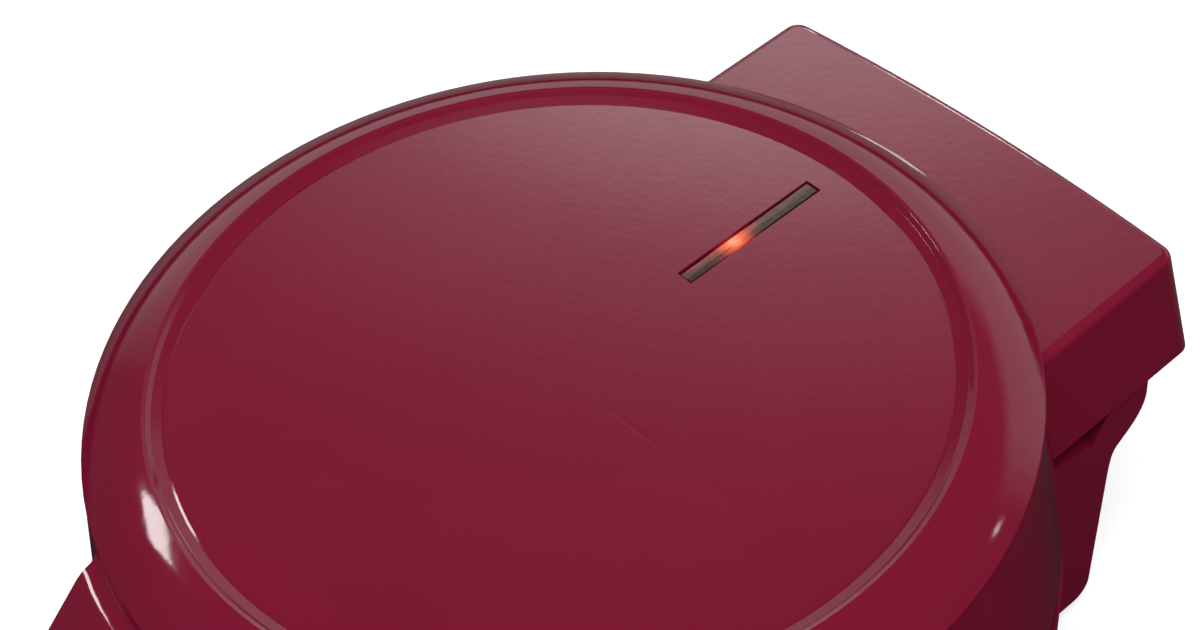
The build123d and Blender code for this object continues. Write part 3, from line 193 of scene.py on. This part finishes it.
def rubber(name, colour, worn):
    """Matt rubber with a dusty bloom."""
    material, t, shader = surface(name, **{"IOR": 1.5, "Specular IOR Level": 0.3})
    place = object_place(t)
    t.link(ramp(t, noise(t, place, 220.0, 5.0), [(0.35, colour), (0.8, worn)]), shader.inputs["Base Color"])
    t.link(ramp(t, noise(t, place, 700.0), [(0.3, 0.65), (0.7, 0.85)]), shader.inputs["Roughness"])
    t.link(bump(t, noise(t, place, 1800.0), 0.25, 0.0001), shader.inputs["Normal"])
    return material


def non_stick(name):
    """A dark satin coating on a casting, with tiny pale flecks and the casting's soft grain."""
    material, t, shader = surface(name, **{"Metallic": 0.25})
    place = object_place(t)
    flecks = t.add("ShaderNodeTexVoronoi", scale=1400.0)
    t.link(place, flecks.inputs["Vector"])
    colour = ramp(t, flecks.outputs["Distance"], [(0.0, (0.16, 0.16, 0.165)), (0.13, (0.030, 0.030, 0.032))])
    t.link(colour, shader.inputs["Base Color"])
    t.link(ramp(t, noise(t, place, 500.0), [(0.3, 0.3), (0.7, 0.45)]), shader.inputs["Roughness"])
    t.link(bump(t, noise(t, place, 1100.0, 3.0), 0.22, 0.0002), shader.inputs["Normal"])
    return material


def metal(name, light, dark, low, high, grain=(30.0, 400.0, 400.0)):
    """Metal with a drawn grain, a mottled tarnish and uneven polish."""
    material, t, shader = surface(name, **{"Metallic": 1.0})
    place = object_place(t)
    stretch = t.add("ShaderNodeMapping")
    stretch.inputs["Scale"].default_value = grain
    t.link(place, stretch.inputs["Vector"])
    drawn = noise(t, stretch.outputs[0], 6.0, 4.0)
    t.link(ramp(t, noise(t, place, 140.0, 4.0), [(0.3, dark), (0.7, light)]), shader.inputs["Base Color"])
    t.link(ramp(t, drawn, [(0.3, low), (0.7, high)]), shader.inputs["Roughness"])
    t.link(bump(t, drawn, 0.12, 0.0001), shader.inputs["Normal"])
    return material


def ceramic(name):
    """Off-white steatite with faint specks and a dry glaze."""
    material, t, shader = surface(name, **{"IOR": 1.5})
    place = object_place(t)
    colour = ramp(t, noise(t, place, 700.0, 4.0), [(0.3, (0.62, 0.58, 0.50)), (0.6, (0.78, 0.75, 0.68))])
    t.link(colour, shader.inputs["Base Color"])
    t.link(ramp(t, noise(t, place, 300.0), [(0.3, 0.35), (0.7, 0.6)]), shader.inputs["Roughness"])
    t.link(bump(t, noise(t, place, 1500.0), 0.1, 0.0001), shader.inputs["Normal"])
    return material


def braid(name):
    """Woven glass-fibre sleeving on a lead."""
    material, t, shader = surface(name, **{"Sheen Weight": 0.3, "Roughness": 0.8})
    place = object_place(t)
    waves = []
    for turn in (0.7, -0.7):
        lay = t.add("ShaderNodeMapping")
        lay.inputs["Rotation"].default_value = (turn, turn, turn)
        t.link(place, lay.inputs["Vector"])
        wave = t.add("ShaderNodeTexWave", scale=900.0, distortion=0.4)
        t.link(lay.outputs[0], wave.inputs["Vector"])
        waves.append(wave.outputs["Fac"])
    weave = t.add("ShaderNodeMath", operation="MAXIMUM")
    t.link(waves[0], weave.inputs[0])
    t.link(waves[1], weave.inputs[1])
    colour = ramp(t, weave.outputs[0], [(0.2, (0.40, 0.38, 0.33)), (0.8, (0.70, 0.67, 0.60))])
    t.link(colour, shader.inputs["Base Color"])
    t.link(bump(t, weave.outputs[0], 0.5, 0.0001), shader.inputs["Normal"])
    return material


def smoked_lens(name):
    """Smoky clear plastic with streaks, with painted shade that darkens its +X half and leaves its -X half
    paler, and a painted glow over the lamp.
    """
    material, t, shader = surface(name, **{"IOR": 1.49, "Transmission Weight": 0.3})
    place = object_place(t)
    grain = t.add("ShaderNodeMapping")
    grain.inputs["Scale"].default_value = (9.0, 1.0, 1.0)
    t.link(place, grain.inputs["Vector"])
    streaks = noise(t, grain.outputs[0], 240.0, 4.0, 0.6)
    tint = ramp(t, streaks, [(0.3, (0.085, 0.030, 0.028)), (0.7, (0.25, 0.115, 0.095))])
    # Painted shade: the bar's colour is darkened across its +X half, so the -X half stays paler.
    parts = t.add("ShaderNodeSeparateXYZ")
    t.link(place, parts.inputs[0])
    side = t.add("ShaderNodeMapRange")
    for key, value in (("From Min", -0.1 * MM), ("From Max", 0.25 * MM)):
        side.inputs[key].default_value = value
    t.link(parts.outputs["X"], side.inputs["Value"])
    painted_side_shade = ramp(t, side.outputs[0], [(0.0, 1.0), (1.0, 0.28)])
    t.link(product(t, tint, painted_side_shade), shader.inputs["Base Color"])
    t.link(ramp(t, noise(t, place, 900.0), [(0.3, 0.05), (0.7, 0.14)]), shader.inputs["Roughness"])
    t.link(bump(t, noise(t, place, 600.0), 0.08, 0.0002), shader.inputs["Normal"])
    # Painted glow: the lens itself emits light round the lamp, broken up by the streaks, in place of the
    # lamp's light shining through it.
    away = t.add("ShaderNodeVectorMath", operation="DISTANCE")
    away.inputs[1].default_value = lamp_middle
    t.link(place, away.inputs[0])
    near = t.add("ShaderNodeMapRange", interpolation_type="SMOOTHSTEP")
    for key, value in (("From Min", 0.0), ("From Max", glow_reach), ("To Min", 1.0), ("To Max", 0.0)):
        near.inputs[key].default_value = value
    t.link(away.outputs["Value"], near.inputs["Value"])
    stops = [(0.0, 0.0), (0.45, (0.14, 0.01, 0.006)), (0.85, (0.80, 0.09, 0.02)), (1.0, (1.0, 0.34, 0.16))]
    glow = ramp(t, near.outputs[0], stops)
    broken = ramp(t, streaks, [(0.35, 0.45), (0.65, 1.2)])
    t.link(product(t, glow, broken), shader.inputs["Emission Color"])
    shader.inputs["Emission Strength"].default_value = 1.1
    return material


def lamp_glass(name):
    """The neon lamp: glass with an uneven orange-red glow."""
    material, t, shader = surface(name, **{"Roughness": 0.1, "Emission Strength": 14.0})
    place = object_place(t)
    glow = ramp(t, noise(t, place, 180.0, 2.0), [(0.3, (1.0, 0.05, 0.01)), (0.7, (1.0, 0.22, 0.05))])
    t.link(glow, shader.inputs["Emission Color"])
    t.link(glow, shader.inputs["Base Color"])
    return material


materials = {
    "glossy_red_plastic": gloss_plastic("burgundy_plastic", burgundy, burgundy_deep),
    "black_plastic": satin_plastic("black_plastic", soot, (0.030, 0.030, 0.031)),
    "black_rubber": rubber("black_rubber", rubber_black, (0.040, 0.039, 0.038)),
    "non_stick_coating": non_stick("non_stick_coating"),
    "steel": metal("zinc_steel", (0.60, 0.60, 0.58), (0.42, 0.42, 0.42), 0.22, 0.38),
    "heater_sheath": metal("heater_sheath", (0.30, 0.27, 0.24), (0.16, 0.14, 0.13), 0.4, 0.6),
    "sheet_metal": metal("rolled_sheet", (0.70, 0.70, 0.71), (0.52, 0.52, 0.54), 0.2, 0.38),
    "lens_plastic": smoked_lens("smoked_lens"),
    "lamp_glass": lamp_glass("neon_glow"),
    "white_ceramic": ceramic("steatite"),
    "crimp_metal": metal("tinned_brass", (0.66, 0.55, 0.34), (0.48, 0.38, 0.22), 0.25, 0.4),
    "lead_insulation": braid("fibre_sleeving"),
}


def dress_nodes():
    """Gives each carried-over node the material of its slot in the record."""
    slots = {s["node"]: s["material_slot"] for s in frame["record"]["subparts"]}
    for name, node in nodes.items():
        node.data.materials.clear()
        node.data.materials.append(materials[slots[name]])


# Lamps, each a softbox in the direction that a highlight or the shading gives; the unseen ones
# only light the surfaces and stay out of the mirror images
softboxes = {
    "side_box": {"at": (287, 40), "size": (0.15, 0.11), "distance": 1.0, "light": 14.0},
    "back_box": {"at": (211, 23), "size": (0.10, 0.10), "distance": 1.1, "light": 10.0},
    "spot_box": {"at": (149, 24), "size": (0.05, 0.05), "distance": 1.2, "light": 9.0},
    "key_box": {"at": (48, 68), "size": (0.75, 0.75), "distance": 1.2, "light": 5.2, "mirrored": False},
    "left_fill": {"at": (0, 20), "size": (0.5, 0.5), "distance": 1.2, "light": 2.4, "mirrored": False},
    "right_fill": {"at": (100, 20), "size": (0.5, 0.5), "distance": 1.2, "light": 5.6, "mirrored": False},
}


def make_softbox(name, at, size, distance, light, mirrored=True):
    """A rectangular softbox that faces the object; light is its brightness, where 1 is white."""
    away = direction(*at)
    data = bpy.data.lights.new(name, "AREA")
    data.shape = "RECTANGLE"
    data.size, data.size_y = size
    data.energy = light * size[0] * size[1] * math.pi
    lamp = bpy.data.objects.new(name, data)
    lamp.visible_glossy = mirrored
    bpy.context.scene.collection.objects.link(lamp)
    aim = Vector((0, 0, 0.05))
    turn = away.to_track_quat("Z", "Y").to_matrix().to_4x4()
    lamp.matrix_world = Matrix.Translation(aim + away * distance) @ turn


def facing(t, way, towards):
    """How far a vector goes in a direction: from -1 to 1 for a world ray, in metres for a place."""
    node = t.add("ShaderNodeVectorMath", operation="DOT_PRODUCT")
    t.link(way, node.inputs[0])
    node.inputs[1].default_value = towards
    return node.outputs["Value"]


def math_of(t, operation, first, second):
    """Two values put together."""
    node = t.add("ShaderNodeMath", operation=operation)
    t.link(first, node.inputs[0])
    t.link(second, node.inputs[1])
    return node.outputs[0]


def make_world():
    """A studio round the object: white to the camera, and to the rest a dim room with a low pale
    backdrop and a round glow above it, both behind the lid."""
    world = bpy.data.worlds.new("studio")
    bpy.context.scene.world = world
    t = Tree(world)
    way = t.add("ShaderNodeTexCoord").outputs["Generated"]
    spot = facing(t, way, direction(*glow_way))
    glow = ramp(
        t, spot, [(0.90, 0.0), (0.93, 0.02), (0.947, 0.05), (0.96, 0.16), (0.97, 0.28), (0.985, 1.0)]
    )
    upper = ramp(t, facing(t, way, (0, 0, 1)), [(0.57, 0.24), (0.635, 1.0)])
    side = ramp(t, facing(t, way, direction(*backdrop_way)), [(0.50, 0.0), (0.68, 1.0)])
    height = ramp(t, facing(t, way, (0, 0, 1)), [(0.0, 0.0), (0.03, 0.21), (0.42, 0.21), (0.52, 0.0)])
    room = ramp(t, facing(t, way, (0, 0, 1)), [(0.0, 0.004), (0.05, 0.035), (0.93, 0.035), (0.985, 0.13)])
    low = math_of(t, "MULTIPLY", side, height)
    lit = math_of(t, "MULTIPLY", glow, upper)
    both = math_of(t, "ADD", math_of(t, "MAXIMUM", lit, low), room)
    dim = t.add("ShaderNodeBackground", strength=room_peak)
    t.link(both, dim.inputs["Color"])
    white = t.add("ShaderNodeBackground", strength=1.0)
    white.inputs["Color"].default_value = (1, 1, 1, 1)
    seen = t.add("ShaderNodeLightPath").outputs["Is Camera Ray"]
    mix = t.add("ShaderNodeMixShader")
    out = t.add("ShaderNodeOutputWorld")
    t.link(seen, mix.inputs[0])
    t.link(dim.outputs[0], mix.inputs[1])
    t.link(white.outputs[0], mix.inputs[2])
    t.link(mix.outputs[0], out.inputs["Surface"])


def make_floor():
    """A floor that is pale to the camera and keeps the object's soft shadow. To mirror images and
    bounced light it is dark in front of the object and paler behind it."""
    half = 0.7
    mesh = bpy.data.meshes.new("floor")
    mesh.from_pydata(
        [(-half, -half, 0), (half, -half, 0), (half, half, 0), (-half, half, 0)], [], [(0, 1, 2, 3)]
    )
    floor = bpy.data.objects.new("floor", mesh)
    bpy.context.scene.collection.objects.link(floor)
    material = bpy.data.materials.new("floor_paper")
    t = Tree(material)
    paper = t.add("ShaderNodeBsdfDiffuse")
    place = object_place(t)
    t.link(ramp(t, noise(t, place, 40.0), [(0.3, 0.80), (0.7, 0.82)]), paper.inputs["Color"])
    lift = t.add("ShaderNodeEmission", strength=0.55)
    seen = t.add("ShaderNodeLightPath").outputs["Is Camera Ray"]
    lifted = t.add("ShaderNodeAddShader")
    mix = t.add("ShaderNodeMixShader")
    out = t.add("ShaderNodeOutputMaterial")
    t.link(paper.outputs[0], lifted.inputs[0])
    t.link(lift.outputs[0], lifted.inputs[1])
    t.link(seen, mix.inputs[0])
    dark = t.add("ShaderNodeBsdfDiffuse")
    behind = facing(t, place, direction(*backdrop_way))
    t.link(ramp(t, behind, [(0.06, 0.025), (0.22, 0.28)]), dark.inputs["Color"])
    t.link(dark.outputs[0], mix.inputs[1])
    t.link(lifted.outputs[0], mix.inputs[2])
    t.link(mix.outputs[0], out.inputs["Surface"])
    mesh.materials.append(material)


make_camera()
dress_nodes()
for name, box in softboxes.items():
    make_softbox(name, **box)
make_world()
make_floor()
bpy.context.scene.view_settings.view_transform = "Standard"
